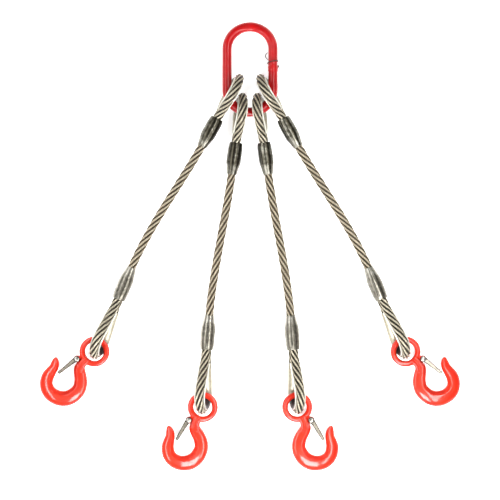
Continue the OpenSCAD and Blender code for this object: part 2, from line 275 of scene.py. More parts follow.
class Shader:
    """A Principled material with a few nodes in front of it."""

    def __init__(self, name, **sockets):
        self.material = bpy.data.materials.new(name)
        self.material.use_nodes = True
        self.tree = self.material.node_tree
        self.bsdf = self.tree.nodes["Principled BSDF"]
        for key, value in sockets.items():
            self.bsdf.inputs[key.replace("_", " ")].default_value = value
        self.coords = self.tree.nodes.new("ShaderNodeTexCoord").outputs["Object"]

    def link(self, a, b):
        self.tree.links.new(a, b)

    def noise(self, scale, detail=4.0, rough=0.55, stretch=(1, 1, 1), warp=0.0):
        mapping = self.tree.nodes.new("ShaderNodeMapping")
        mapping.inputs["Scale"].default_value = stretch
        self.link(self.coords, mapping.inputs["Vector"])
        node = self.tree.nodes.new("ShaderNodeTexNoise")
        node.inputs["Scale"].default_value = scale
        node.inputs["Detail"].default_value = detail
        node.inputs["Roughness"].default_value = rough
        node.inputs["Distortion"].default_value = warp
        self.link(mapping.outputs["Vector"], node.inputs["Vector"])
        return node.outputs["Fac"]

    def spread(self, value, low, high, to_low=0.0, to_high=1.0):
        node = self.tree.nodes.new("ShaderNodeMapRange")
        for key, number in zip(("From Min", "From Max", "To Min", "To Max"), (low, high, to_low, to_high)):
            node.inputs[key].default_value = number
        self.link(value, node.inputs["Value"])
        return node.outputs["Result"]

    def math(self, operation, a, b):
        node = self.tree.nodes.new("ShaderNodeMath")
        node.operation = operation
        for socket, value in zip(node.inputs, (a, b)):
            if isinstance(value, (int, float)):
                socket.default_value = value
            else:
                self.link(value, socket)
        return node.outputs["Value"]

    def ramp(self, value, *stops):
        """Colour ramp with (position, colour) stops."""
        node = self.tree.nodes.new("ShaderNodeValToRGB")
        ramp = node.color_ramp
        while len(ramp.elements) < len(stops):
            ramp.elements.new(0.5)
        for element, (position, colour) in zip(ramp.elements, stops):
            element.position = position
            element.color = (*colour, 1)
        self.link(value, node.inputs["Fac"])
        return node.outputs["Color"]

    def mix(self, amount, a, b):
        node = self.tree.nodes.new("ShaderNodeMix")
        node.data_type = "RGBA"
        self.link(amount, node.inputs["Factor"])
        for socket, value in ((node.inputs[6], a), (node.inputs[7], b)):
            if isinstance(value, tuple):
                socket.default_value = (*value, 1)
            else:
                self.link(value, socket)
        return node.outputs[2]

    def attribute(self, name):
        node = self.tree.nodes.new("ShaderNodeAttribute")
        node.attribute_name = name
        return node.outputs["Fac"]

    def colour(self, value):
        self.link(value, self.bsdf.inputs["Base Color"])

    def roughness(self, value):
        self.link(value, self.bsdf.inputs["Roughness"])

    def bump(self, value, distance, strength=1.0):
        node = self.tree.nodes.new("ShaderNodeBump")
        node.inputs["Distance"].default_value = distance
        node.inputs["Strength"].default_value = strength
        self.link(value, node.inputs["Height"])
        self.link(node.outputs["Normal"], self.bsdf.inputs["Normal"])


def paint(name, light, dark, chip, chip_amount, gloss, gloss_blur, relief):
    """Gloss paint over a forging: uneven film, faint orange peel and a few chips to dark metal."""
    s = Shader(name, Roughness=0.4, Coat_Weight=1.0, Coat_IOR=gloss, Coat_Roughness=gloss_blur)
    s.bsdf.inputs["Specular IOR Level"].default_value = 0.15
    film = s.ramp(s.noise(38, 5, 0.6), (0.3, dark), (0.7, light))
    spots = s.spread(s.noise(260, 3, 0.5), chip_amount, chip_amount + 0.02)
    s.colour(s.mix(spots, film, chip))
    s.roughness(s.spread(s.noise(120, 6), 0.3, 0.7, 0.32, 0.5))
    forging = s.noise(90, 3, 0.5)
    peel = s.noise(700, 2, 0.5)
    s.bump(s.math("ADD", forging, s.math("MULTIPLY", peel, 0.15)), relief, 0.6)
    return s.material


def rope_steel(name, groove, shade, wire, crest_highlight):
    """Bright wires with a painted highlight on their crests, and old grease and painted shade down between
    the strands.
    """
    s = Shader(name, Metallic=0.55, Roughness=0.35)
    tone = s.math("ADD", s.attribute("height"), s.spread(s.noise(420, 4, 0.6), 0.3, 0.7, -0.03, 0.03))
    wires = s.ramp(tone, (0.74, groove), (0.86, shade), (0.93, wire), (0.99, crest_highlight))
    stained = s.spread(s.noise(55, 3), 0.5, 0.75, 0, 0.5)
    s.colour(s.mix(stained, wires, tuple(0.55 * c for c in wire)))
    s.roughness(s.spread(s.noise(500, 3), 0.3, 0.7, 0.26, 0.5))
    return s.material


def zinc(name, light, dark, at_edge, metallic, rough, worn=(0.03, 0.03, 0.028)):
    """Zinc plate: spangle-like clouds, fine scuffs, another tone along its edges (a painted highlight when
    bright, painted shade when dark), and near-black painted shade where a hook's ring also wears the plate.
    """
    s = Shader(name, Metallic=metallic, Roughness=rough)
    clouds = s.ramp(s.noise(140, 5, 0.6, warp=0.6), (0.3, dark), (0.68, light))
    scuffs = s.spread(s.noise(900, 3, 0.6, stretch=(1, 0.25, 1)), 0.56, 0.66, 0, 0.6)
    plate = s.mix(scuffs, clouds, tuple(0.6 * c for c in dark))
    s.colour(s.mix(s.attribute("worn"), s.mix(s.attribute("edge"), plate, at_edge), worn))
    s.roughness(s.spread(s.noise(300, 4), 0.3, 0.7, rough - 0.08, rough + 0.16))
    s.bump(s.noise(800, 3), 0.06 * MM, 0.5)
    return s.material


def pressed_steel(name, dark, middle, light):
    """Pressed sleeve: oiled steel, with draw streaks along it and a painted highlight on its taper."""
    s = Shader(name, Metallic=1.0, Roughness=0.36)
    # The streak attribute holds the draw streaks and a painted highlight on the taper.
    streak = s.attribute("streak")
    tone = s.math("ADD", streak, s.spread(s.noise(150, 5, 0.6), 0.3, 0.7, -0.25, 0.25))
    s.colour(s.ramp(tone, (0.2, dark), (0.55, middle), (0.9, light)))
    s.roughness(s.spread(s.noise(400, 4), 0.3, 0.7, 0.28, 0.4))
    s.bump(s.math("ADD", s.math("MULTIPLY", streak, 0.5), s.noise(300, 3)), 0.03 * MM, 0.3)
    return s.material


def plain_wire(name, light, dark, metallic, rough):
    s = Shader(name, Metallic=metallic, Roughness=rough)
    s.colour(s.ramp(s.noise(500, 4, 0.6), (0.35, dark), (0.7, light)))
    s.roughness(s.spread(s.noise(700, 3), 0.3, 0.7, rough - 0.08, rough + 0.12))
    s.bump(s.noise(1500, 3), 0.03 * MM, 0.5)
    return s.material


LINK_PAINT = paint(
    "link_paint", light=(0.39, 0.001, 0.002), dark=(0.27, 0.001, 0.002), chip=(0.07, 0.004, 0.004),
    chip_amount=0.74, gloss=1.27, gloss_blur=0.045, relief=0.06 * MM)
HOOK_PAINT = paint(
    "hook_paint", light=(0.54, 0.021, 0.006), dark=(0.41, 0.012, 0.004), chip=(0.18, 0.013, 0.008),
    chip_amount=0.76, gloss=1.34, gloss_blur=0.10, relief=0.2 * MM)
# The eyes' rope has deeper painted shade between its strands and a brighter painted highlight on its crests
# than the free rope.
EYE_ROPE = rope_steel(
    "rope_steel_eye", groove=(0.003, 0.003, 0.002), shade=(0.018, 0.015, 0.009),
    wire=(0.21, 0.172, 0.12), crest_highlight=(0.64, 0.59, 0.45))
FREE_ROPE = rope_steel(
    "rope_steel_free", groove=(0.013, 0.009, 0.004), shade=(0.066, 0.048, 0.028),
    wire=(0.20, 0.160, 0.103), crest_highlight=(0.50, 0.44, 0.335))
# The bright colour along the thimbles' rolled edges is a painted highlight, with some rub.
THIMBLE_ZINC = zinc(
    "thimble_zinc", light=(0.36, 0.335, 0.255), dark=(0.24, 0.22, 0.16), at_edge=(0.80, 0.78, 0.70),
    metallic=0.3, rough=0.32)
# The latch's dark outline colour is painted shade.
LATCH_ZINC = zinc(
    "latch_zinc", light=(0.24, 0.215, 0.175), dark=(0.13, 0.115, 0.085), at_edge=(0.012, 0.010, 0.007),
    metallic=0.6, rough=0.3)
PIN_ZINC = zinc(
    "pin_zinc", light=(0.30, 0.29, 0.26), dark=(0.16, 0.15, 0.13), at_edge=(0.8, 0.8, 0.8),
    metallic=0.8, rough=0.26)
FERRULE_STEEL = {
    "upper": pressed_steel(
        "ferrule_steel_dark", dark=(0.028, 0.025, 0.017), middle=(0.060, 0.056, 0.042),
        light=(0.24, 0.23, 0.195)),
    "lower": pressed_steel(
        "ferrule_steel_pale", dark=(0.095, 0.088, 0.070), middle=(0.19, 0.177, 0.147),
        light=(0.38, 0.365, 0.32)),
}
SPRING_STEEL = plain_wire(
    "spring_steel", light=(0.50, 0.51, 0.53), dark=(0.22, 0.22, 0.24), metallic=1.0, rough=0.3)
TIE_WIRE = plain_wire(
    "tie_wire", light=(0.05, 0.055, 0.05), dark=(0.012, 0.014, 0.012), metallic=0.6, rough=0.5)

# ---- Rope ----

STRANDS = 6
STRAND_LINE_R = ROPE_R * 2 / 3      # strands lie round the core at this radius
STRAND_R = ROPE_R / 3
STRAND_LAY = 6.3 * 2 * ROPE_R       # length of rope in which a strand goes once round
WIRES = 12                          # outer wires of a strand
WIRE_POINTS = 3
WIRE_RELIEF = 0.16                  # depth between two wires, as a share of the strand's radius
RING_STEP = 2.2 * MM
CORE_R = 3.4 * MM
CORE_POINTS = 12


def rope_mesh(path, out, squeeze):
    """Six laid strands round a core. out points away from the path at each point, and squeeze narrows
    the rope that way. Returns points, faces and each point's height from the rope's centre."""
    s = run_length(path)
    side = unit(np.cross(along(path), out))
    out_s = out * squeeze[:, None]
    n = WIRES * WIRE_POINTS
    lobe = 1 - WIRE_RELIEF * (np.arange(n) % WIRE_POINTS == 0)
    points, heights, faces = [], [], []
    for strand in range(STRANDS):
        phi = 2 * math.pi * (strand / STRANDS + s / STRAND_LAY)
        centre_out, centre_side = STRAND_LINE_R * np.cos(phi), STRAND_LINE_R * np.sin(phi)
        theta = 2 * math.pi * np.arange(n)[None, :] / n - 2 * phi[:, None]
        o = centre_out[:, None] + STRAND_R * lobe * np.cos(theta)
        b = centre_side[:, None] + STRAND_R * lobe * np.sin(theta)
        ring = path[:, None, :] + o[..., None] * out_s[:, None, :] + b[..., None] * side[:, None, :]
        faces += tube_faces(len(path), n, base=len(path) * n * strand)
        points.append(ring.reshape(-1, 3))
        heights.append((np.hypot(o, b) / ROPE_R - 0.5 * (1 - lobe)).ravel())
    a = 2 * math.pi * np.arange(CORE_POINTS) / CORE_POINTS
    core = path[:, None, :] + CORE_R * (
        np.cos(a)[None, :, None] * out_s[:, None, :] + np.sin(a)[None, :, None] * side[:, None, :])
    faces += tube_faces(len(path), CORE_POINTS, base=len(path) * n * STRANDS)
    points.append(core.reshape(-1, 3))
    heights.append(np.zeros(len(path) * CORE_POINTS))
    return np.vstack(points), faces, np.concatenate(heights)


INTO_SLEEVE = 5 * MM                # how far a free rope's mesh runs into each sleeve


def free_rope_path(leg):
    """The free rope's line, from just inside the upper sleeve to just inside the lower one."""
    c, (upper, lower) = ROUTE[leg], HEADINGS[leg]
    middle = cubic(c, np.linspace(0, 1, 60))
    start = c[0] - heading_dir(upper) * INTO_SLEEVE
    end = c[3] + heading_dir(lower) * INTO_SLEEVE
    flat = np.vstack([start, middle, end])
    return even(np.column_stack([flat, np.full(len(flat), LEG_Z)]), RING_STEP)


def free_rope(side, leg):
    name = f"{side}_{leg}"
    path = free_rope_path(leg)
    out = unit(np.cross(UP, along(path)))
    points, faces, height = rope_mesh(path, out, np.ones(len(path)))
    obj = piece(f"{name}_free_rope", points, faces, FREE_ROPE, side, height=height)
    place(obj, None, "rope_steel", f"{name}_rope_span")
    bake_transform(obj)


for side in SIDES:
    for leg in LEGS:
        free_rope(side, leg)

# ---- Eyes: rope and thimble ----


def eye_place(leg, end):
    """(origin, rotation) of an eye's own plane: +Y from the sleeve to the crown, +X across the loop."""
    which = 0 if end == "upper" else 1
    heading = HEADINGS[leg][which]
    way = -1 if end == "upper" else 1
    foot = ROUTE[leg][0 if end == "upper" else 3]
    mouth = foot + way * heading_dir(heading) * FERRULE_LEN[end]
    rotation = turn("z", -math.radians(heading))
    if end == "lower":
        rotation = rotation @ turn("z", math.pi)
    rotation = rotation @ turn("y", math.pi / 2 + EYE_TWIST[end])
    return np.array([*mouth, LEG_Z]), rotation


def eye_line(end):
    """An eye's line in its own plane: up one side, round the crown and down the other."""
    length, lean = EYE_LEN[end], EYE_LEAN[end]
    crown = length - EYE_LINE_R - ROPE_R
    foot = np.array([THROAT_HALF, 0])
    meet = np.array([EYE_LINE_R * math.cos(lean), crown - EYE_LINE_R * math.sin(lean)])
    pull = np.linalg.norm(meet - foot) / 3
    toward = np.array([math.sin(lean), math.cos(lean)])
    side = cubic(np.array([foot, foot + [0, pull], meet - pull * toward, meet]), np.linspace(0, 1, 60))
    a = np.linspace(-lean, math.pi + lean, 121)[1:-1]
    arc = np.column_stack([EYE_LINE_R * np.cos(a), crown + EYE_LINE_R * np.sin(a)])
    flat = np.vstack([side, arc, side[::-1] * [-1, 1]])
    return np.column_stack([flat, np.zeros(len(flat))])


def eye_out(path):
    """Directions away from the loop, in its plane."""
    return unit(np.cross(along(path), UP))


def strand_share(y):
    """How much of the rope's full radius an eye has at the height y above its sleeve."""
    return (HALF_ROPE_R + (ROPE_R - HALF_ROPE_R) * np.minimum(1, y / SWELL_Y)) / ROPE_R


def eye_rope(side, leg, end):
    name = f"{side}_{leg}"
    path = even(eye_line(end), RING_STEP)
    points, faces, height = rope_mesh(path, eye_out(path), strand_share(path[:, 1]))
    origin, rotation = eye_place(leg, end)
    obj = piece(f"{name}_{end}_eye_rope", points @ rotation.T + origin, faces, EYE_ROPE, side, height=height)
    place(obj, f"{name}_{end}_leg", "rope_steel", f"{name}_rope_{end}_eye")


THIMBLE_ARC = 14                    # steps round the trough
LIP_STEPS = 5                       # steps round half of a rolled edge
RIM_HIGHLIGHT_W = 3 * MM                      # width of the painted highlight along it
CROWN_SHADE_FADE = 6 * MM                  # length over which the painted shade at a lower crown fades in


def thimble_section(inner, wrap):
    """(outwards, across) points of a trough of that inner radius, from the middle of one edge's
    rounding to the middle of the same rounding, so that point k faces point n - 1 - k."""
    middle, half = inner + THIMBLE_T / 2, THIMBLE_T / 2
    first, last = math.radians(180 - wrap), math.radians(180 + wrap)

    def arc(r, a, b, steps):
        t = np.linspace(a, b, steps + 1)
        return np.column_stack([r * np.cos(t), r * np.sin(t)])

    def lip(at, a, b):
        centre = middle * np.array([math.cos(at), math.sin(at)])
        t = np.linspace(a, b, LIP_STEPS + 1)[1:-1]
        return centre + half * np.column_stack([np.cos(t), np.sin(t)])

    right = math.pi / 2
    return np.vstack([
        lip(first, first - right, first),
        arc(inner + THIMBLE_T, first, last, THIMBLE_ARC),
        lip(last, last, last + right),
        lip(last, last + right, last + 2 * right),
        arc(inner, last, first, THIMBLE_ARC),
        lip(first, first - 2 * right, first - right),
    ])


def thimble(side, leg, end):
    name = f"{side}_{leg}"
    line = even(eye_line(end), RING_STEP)
    out = eye_out(line)
    keep = line[:, 1] >= THIMBLE_START[end]
    rings = []
    for p, o in zip(line[keep], out[keep]):
        section = thimble_section(ROPE_R * strand_share(p[1]) + FIT, THIMBLE_WRAP[end])
        rings.append(p + section[:, :1] * o + section[:, 1:] * UP)
    origin, rotation = eye_place(leg, end)
    points = np.vstack(rings) @ rotation.T + origin
    faces = tube_faces(len(rings), len(rings[0]), folded=True)
    # The rolled edges lie furthest outwards; they are rubbed bright and carry a painted highlight.
    rim_highlight = np.clip((section[:, 0] - section[:, 0].max()) / RIM_HIGHLIGHT_W + 1, 0, 1)
    edge = np.tile(rim_highlight, len(rings))
    # The inside of a lower crown is painted near-black: painted shade, where a hook's ring also wears the
    # plate.
    crown = EYE_LEN[end] - EYE_LINE_R - ROPE_R
    crown_shade_share = np.clip((line[keep][:, 1] - crown) / CROWN_SHADE_FADE, 0, 1) if end == "lower" else np.zeros(len(rings))
    worn = np.repeat(crown_shade_share, len(rim_highlight)) * (1 - 0.6 * edge)
    obj = piece(f"{name}_{end}_thimble_rolled", points, faces, THIMBLE_ZINC, side, edge=edge, worn=worn)
    place(obj, f"{name}_{end}_leg", "thimble_zinc", f"{name}_{end}_thimble")


# ---- Sleeves ----

SLEEVE_POINTS = 144
SLEEVE_CORNER_R = 1.2 * MM          # rounding of the flat end's corner
MOUTH_R = FERRULE_R - 1.6 * MM      # radius at the flat end
LIP_R = ROPE_R + 1 * MM             # radius at the tapered end
BORE_R = ROPE_R + 0.05 * MM
BORE_DEPTH = 6 * MM
FLASH = 0.22 * MM                   # the ridge that the press leaves along each side
FLASH_W = math.radians(3)
TAPER_START = 0.66                  # share of a sleeve's length where its taper starts
TAPER_HIGHLIGHT = 0.3                     # how much lighter the taper is painted: a painted highlight


def lathe_profile(length):
    """(radius, height) of a sleeve from its flat end to its bore, with rounded corners."""
    corner = [(MOUTH_R - SLEEVE_CORNER_R + SLEEVE_CORNER_R * math.sin(a),
               SLEEVE_CORNER_R - SLEEVE_CORNER_R * math.cos(a)) for a in np.linspace(0, math.pi / 2, 6)]
    body = spline(np.array([
        [MOUTH_R, SLEEVE_CORNER_R],
        [FERRULE_R - 0.4 * MM, length * 0.14],
        [FERRULE_R, length * 0.3],
        [FERRULE_R, length * 0.6],
        [FERRULE_R - 1.4 * MM, length * 0.74],
        [LIP_R + 0.9 * MM, length * 0.93],
        [LIP_R, length],
    ]), 8)
    floor = length - BORE_DEPTH
    inside = [(BORE_R, length), (BORE_R, floor), (0, floor)]
    return np.array([(0, 0), *corner, *body[1:].tolist(), *inside])


def sleeve(side, leg, end):
    name = f"{side}_{leg}"
    profile = lathe_profile(FERRULE_LEN[end])
    a = 2 * math.pi * np.arange(SLEEVE_POINTS) / SLEEVE_POINTS
    # The seed differs by side and by end, and a side's two legs share it.
    rng = np.random.default_rng(len(name) + (7 if end == "upper" else 0))
    streak = rng.random(SLEEVE_POINTS)
    streak = 0.5 * streak + 0.25 * np.roll(streak, 1) + 0.25 * np.roll(streak, -1)
    seam = np.exp(-((np.mod(a + math.pi / 2, math.pi) - math.pi / 2) / FLASH_W) ** 2)
    rings, streak_and_taper_highlight = [], []
    for r, y in profile:
        on_barrel = 1 if r > (BORE_R + LIP_R) / 2 else 0
        radius = r + on_barrel * FLASH * seam
        rings.append(np.column_stack([radius * np.cos(a), np.full(len(a), y), radius * np.sin(a)]))
        along_taper = (y / FERRULE_LEN[end] - TAPER_START) / (1 - TAPER_START)
        # The taper gets a painted highlight on top of the streaks.
        streak_and_taper_highlight.append(streak + TAPER_HIGHLIGHT * min(max(2 * along_taper, 0), 1))
    origin, rotation = eye_place(leg, end)
    # The eye's own plane points at its crown, and the sleeve runs the other way.
    points = np.vstack(rings) * [1, -1, 1] @ rotation.T + origin
    faces = tube_faces(len(rings), SLEEVE_POINTS)
    obj = piece(f"{name}_{end}_sleeve", points, faces, FERRULE_STEEL[end], side,
                streak=np.concatenate(streak_and_taper_highlight))
    place(obj, f"{name}_{end}_leg", "ferrule_steel", f"{name}_{end}_ferrule")


for side in SIDES:
    for leg in LEGS:
        for end in ("upper", "lower"):
            eye_rope(side, leg, end)
            thimble(side, leg, end)
            sleeve(side, leg, end)

# ---- Hooks ----


def joint_of(name):
    return next(j for j in frame["joints"] if j["name"] == name)


def hook_place(leg):
    """(origin, rotation) of a left hook's own frame: -Y from its eye to its bowl, -X towards its tip."""
    swing = joint_of(f"left_{leg}_hook_swing")
    origin, z = np.array(swing["pos_m"]), unit(swing["axis"])
    to_pin = np.array(joint_of(f"left_{leg}_latch_open")["pos_m"]) - origin
    angle = math.atan2(-LATCH_DOWN, -LATCH_ACROSS)
    along_pin = unit(to_pin - z * (to_pin @ z))
    across_pin = np.cross(z, along_pin)
    x = along_pin * math.cos(angle) - across_pin * math.sin(angle)
    return origin, np.column_stack([x, np.cross(z, x), z])


SECTION_STEP = 0.08                 # spacing of the points round a hook's section, in half widths
SWEEP_STEP = 1.5 * MM               # spacing of the sections along a hook
BOWL_AT = np.array([-2.4, -82.4]) * MM          # the bowl's middle
HOOK_VOXEL = 0.8 * MM
HOOK_ROUNDS = 5                     # smoothing rounds over a hook's skin


def hook_section():
    """(outwards, up) points of the hook's section, in units of its half width and half thickness:
    a flat bevel on the side of the bowl, which meets the domed top in a crease."""
    bevel = even(np.array([[-1, 0], [-0.97, 0.34], [-0.5, 0.96]]), SECTION_STEP)
    a = np.linspace(0, math.pi / 2, 16)
    dome = np.column_stack([-0.5 + 1.5 * np.sin(a), np.cos(a) ** 0.75])
    upper = np.vstack([bevel, dome])
    lower = upper[-2:0:-1] * [1, -1]
    return np.vstack([upper, lower])


def sweep_hook():
    """The hook's bent body, from the neck round the bowl to the tip."""
    stations = even(spline(HOOK_STATIONS, 10), SWEEP_STEP)
    path = np.column_stack([-stations[:, 1], -stations[:, 0], np.zeros(len(stations))])
    out = unit(np.cross(along(path), UP))
    bowl = np.array([*BOWL_AT, 0])
    middle = len(path) // 2
    if (path[middle] - bowl) @ out[middle] < 0:
        out = -out
    section = hook_section()
    rings = [p + section[:, :1] * s[2] * o + section[:, 1:] * s[3] * UP
             for p, o, s in zip(path, out, stations)]
    return np.vstack(rings), tube_faces(len(rings), len(section))


def torus(r, bar, steps=120, around=32):
    a = 2 * math.pi * np.arange(steps) / steps
    b = 2 * math.pi * np.arange(around) / around
    ring = r + bar * np.cos(b)
    points = np.stack([
        ring[None, :] * np.cos(a)[:, None], ring[None, :] * np.sin(a)[:, None],
        np.broadcast_to(bar * np.sin(b), (steps, around)),
    ], axis=-1)
    return points.reshape(-1, 3), loop_faces(steps, around)


def drum(x, y, r, z0, z1, around=64):
    """A closed cylinder along Z, whose middle is at x, y."""
    a = 2 * math.pi * np.arange(around) / around
    rings = [np.column_stack([x + r * np.cos(a), y + r * np.sin(a), np.full(around, z)]) for z in (z0, z1)]
    return np.vstack(rings), tube_faces(2, around)


def temporary(name, points, faces):
    data = raw_mesh(name, points, faces)
    outward(data)
    obj = bpy.data.objects.new(name, data)
    bpy.context.scene.collection.objects.link(obj)
    return obj


def applied(obj):
    """The object's mesh with its modifiers, as arrays; the object is removed."""
    evaluated = obj.evaluated_get(bpy.context.evaluated_depsgraph_get())
    data = bpy.data.meshes.new_from_object(evaluated)
    points = np.zeros(len(data.vertices) * 3)
    data.vertices.foreach_get("co", points)
    faces = [list(p.vertices) for p in data.polygons]
    bpy.data.meshes.remove(data)
    bpy.data.objects.remove(obj)
    return points.reshape(-1, 3), faces


def forged(solids, cuts, voxel, rounds):
    """One smooth skin round several overlapping solids, less the cuts."""
    points, faces = [], []
    for p, f in solids:
        base = sum(len(q) for q in points)
        points.append(p)
        faces += [[base + i for i in face] for face in f]
    obj = temporary("forging", np.vstack(points), faces)
    cutters = [temporary("cut", *c) for c in cuts]
    fuse = obj.modifiers.new("fuse", "REMESH")
    fuse.mode = "VOXEL"
    fuse.voxel_size = voxel
    for cutter in cutters:
        cut = obj.modifiers.new("cut", "BOOLEAN")
        cut.operation = "DIFFERENCE"
        cut.object = cutter
        cut.solver = "EXACT"
    again = obj.modifiers.new("again", "REMESH")
    again.mode = "VOXEL"
    again.voxel_size = voxel
    smooth = obj.modifiers.new("smooth", "SMOOTH")
    smooth.factor = 0.5
    smooth.iterations = rounds
    bpy.context.view_layer.update()
    result = applied(obj)
    for cutter in cutters:
        bpy.data.objects.remove(cutter)
    return result


def latch_frame(points):
    """Points of the closed latch's own frame, in the hook's frame."""
    return points @ turn("z", -LATCH_LEAN).T + [-LATCH_ACROSS, -LATCH_DOWN, 0]


RIB_R = 1.5 * MM
RIB_INSET = 4.2 * MM                # how far inside the neck's edges they run
RIB_SINK = 0.2 * MM                 # how deep the ribs' lines lie under the neck's faces
RIB_RUN_UP = 5 * MM                 # how far they start above the neck, where they are lower
RIB_START_H = 0.8                   # their height there, as a share
EAR_ROOM_DEEP = 30 * MM             # reach of the cuts that clear the latch's ears


def neck_ribs():
    """The two low ribs that run from the eye down both sides of the neck, on both faces."""
    ribs = []
    for across in (-1, 1):
        for face in (-1, 1):
            line = []
            for down, middle, half, thick in HOOK_STATIONS[:3]:
                line.append([-middle + across * (half - RIB_INSET), -down, face * (thick - RIB_SINK)])
            x, y, z = line[0]
            path = spline(np.array([[x, y + RIB_RUN_UP, RIB_START_H * z], *line]), 8)
            ribs.append(wire_mesh(path, RIB_R))
    return ribs


def hook_shape():
    boss = drum(-LATCH_ACROSS, -LATCH_DOWN, BOSS_R, -BOSS_HALF, BOSS_HALF)
    rooms = [drum(-LATCH_ACROSS, -LATCH_DOWN, EAR_ROOM_R, z, z + EAR_ROOM_DEEP)
             for z in (BOSS_HALF, -BOSS_HALF - EAR_ROOM_DEEP)]
    solids = [torus(HOOK_EYE_R, HOOK_BAR_R), sweep_hook(), boss, *neck_ribs()]
    return forged(solids, rooms, HOOK_VOXEL, HOOK_ROUNDS)


# ---- Latch, pin and spring ----

LATCH_VOXEL = 0.34 * MM
LATCH_ROUNDS = 4
LATCH_OUTLINE_SHADE_W = 1.7 * MM             # width of the painted shade line along the latch's outline
PIN_POINTS = 64
PIN_HEAD_R = 4.6 * MM
PIN_HEAD_H = 1.6 * MM
PIN_HEAD_EDGE = 0.35 * MM           # height of the head's straight edge below its dome
PIN_HEAD_BEVEL = 0.3 * MM
PIN_TIP_R = 0.02 * MM               # the domes end in a tiny flat, and not in a point
COIL_TURNS = 3
COIL_LEN = 2.3 * MM
COIL_LEG = (0.6 * MM, 8 * MM)       # where a coil's leg starts and ends beside the pin


def latch_outline():
    """A side of the latch in its own frame: round ear, then a plate that narrows to its free end."""
    sweep = np.linspace(math.radians(-40), math.radians(200), 30)
    ear = LATCH_EAR_R * np.column_stack([np.cos(sweep), np.sin(sweep)])
    plate = [
        (-LATCH_TIP_H - LATCH_SHEET / 2, -LATCH_WEB_START), (-LATCH_TIP_H, -LATCH_LEN), (0, -LATCH_LEN),
        (LATCH_EDGE - LATCH_SHEET, LATCH_CORNER - LATCH_LEN), (LATCH_EDGE, -LATCH_WEB_START),
        (LATCH_EAR_R * LATCH_NECK, -LATCH_EAR_R * LATCH_NECK),
    ]
    return np.vstack([ear, plate])


def slab(outline, z0, z1):
    """A closed prism of an outline between two heights."""
    n = len(outline)
    points = np.vstack([np.column_stack([outline, np.full(n, z)]) for z in (z0, z1)])
    return points, tube_faces(2, n)


def latch_shape():
    half = LATCH_EAR_GAP + LATCH_SHEET
    side = latch_outline()
    back = LATCH_TIP_H + LATCH_SHEET / 2
    web = np.array([(-back, -LATCH_WEB_START), (-LATCH_TIP_H, -LATCH_LEN),
                    (LATCH_SHEET - LATCH_TIP_H, -LATCH_LEN), (LATCH_SHEET - back, -LATCH_WEB_START)])
    solids = [slab(side, LATCH_EAR_GAP, half), slab(side, -half, -LATCH_EAR_GAP), slab(web, -half, half)]
    return forged(solids, [], LATCH_VOXEL, LATCH_ROUNDS)


def latch_edge(points):
    """How near each of the latch's points is to its outline, from 0 to 1: painted shade darkens it there."""
    y = -points[:, 1]
    share = np.clip((y - LATCH_WEB_START) / (LATCH_LEN - LATCH_WEB_START), 0, 1)
    low = -LATCH_TIP_H - (1 - share) * LATCH_SHEET / 2
    high = LATCH_EDGE - share * LATCH_SHEET
    near = np.minimum(points[:, 0] - low, high - points[:, 0])
    round_ear = LATCH_EAR_R - np.hypot(points[:, 0], points[:, 1])
    return np.clip(1.4 - np.where(y > LATCH_EAR_R, near, round_ear) / LATCH_OUTLINE_SHADE_W, 0, 1)


def pin_shape():
    """A riveted pin: a shank with a low dome at each end."""
    half = LATCH_EAR_GAP + LATCH_SHEET + FIT
    dome = [(PIN_HEAD_R * math.cos(a), half + PIN_HEAD_EDGE + (PIN_HEAD_H - PIN_HEAD_EDGE) * math.sin(a))
            for a in np.linspace(0, math.pi / 2, 10)]
    top = np.array([(PIN_R, half), (PIN_HEAD_R - PIN_HEAD_BEVEL, half), *dome])
    profile = np.vstack([top[::-1] * [1, -1], top])
    profile[[0, -1], 0] = PIN_TIP_R
    a = 2 * math.pi * np.arange(PIN_POINTS) / PIN_POINTS
    rings = [np.column_stack([r * np.cos(a), r * np.sin(a), np.full(PIN_POINTS, z)]) for r, z in profile]
    return np.vstack(rings), tube_faces(len(rings), PIN_POINTS)


def wire_mesh(path, r, around=10):
    """A round wire along a path, with rings that don't twist."""
    t = along(path)
    side = unit(np.cross(t[0], [0.3, 0.5, 0.81]))
    a = 2 * math.pi * np.arange(around) / around
    rings = []
    for p, d in zip(path, t):
        side = unit(side - d * (side @ d))
        other = np.cross(d, side)
        rings.append(p + r * (np.cos(a)[:, None] * side + np.sin(a)[:, None] * other))
    return np.vstack(rings), tube_faces(len(rings), around)


def spring_shape():
    """Two coils on the pin, one on each side of the boss, each with a short leg along the latch."""
    points, faces = np.empty((0, 3)), []
    for way in (-1, 1):
        a = np.linspace(0, COIL_TURNS * 2 * math.pi, 36 * COIL_TURNS + 1)
        z = way * (BOSS_HALF + FIT + COIL_WIRE_R + (a / a[-1]) * COIL_LEN)
        coil = np.column_stack([COIL_R * np.cos(a), COIL_R * np.sin(a), z])
        down = -np.linspace(*COIL_LEG, 8)
        leg = np.column_stack([np.full(8, COIL_R), down, np.full(8, z[0])])
        wire, wire_faces = wire_mesh(np.vstack([leg[::-1], coil]), COIL_WIRE_R * 0.96)
        faces += [[len(points) + i for i in face] for face in wire_faces]
        points = np.vstack([points, wire])
    return points, faces


def on_pin(shape):
    return shape[0] + [-LATCH_ACROSS, -LATCH_DOWN, 0], shape[1]


plate_points, plate_faces = latch_shape()
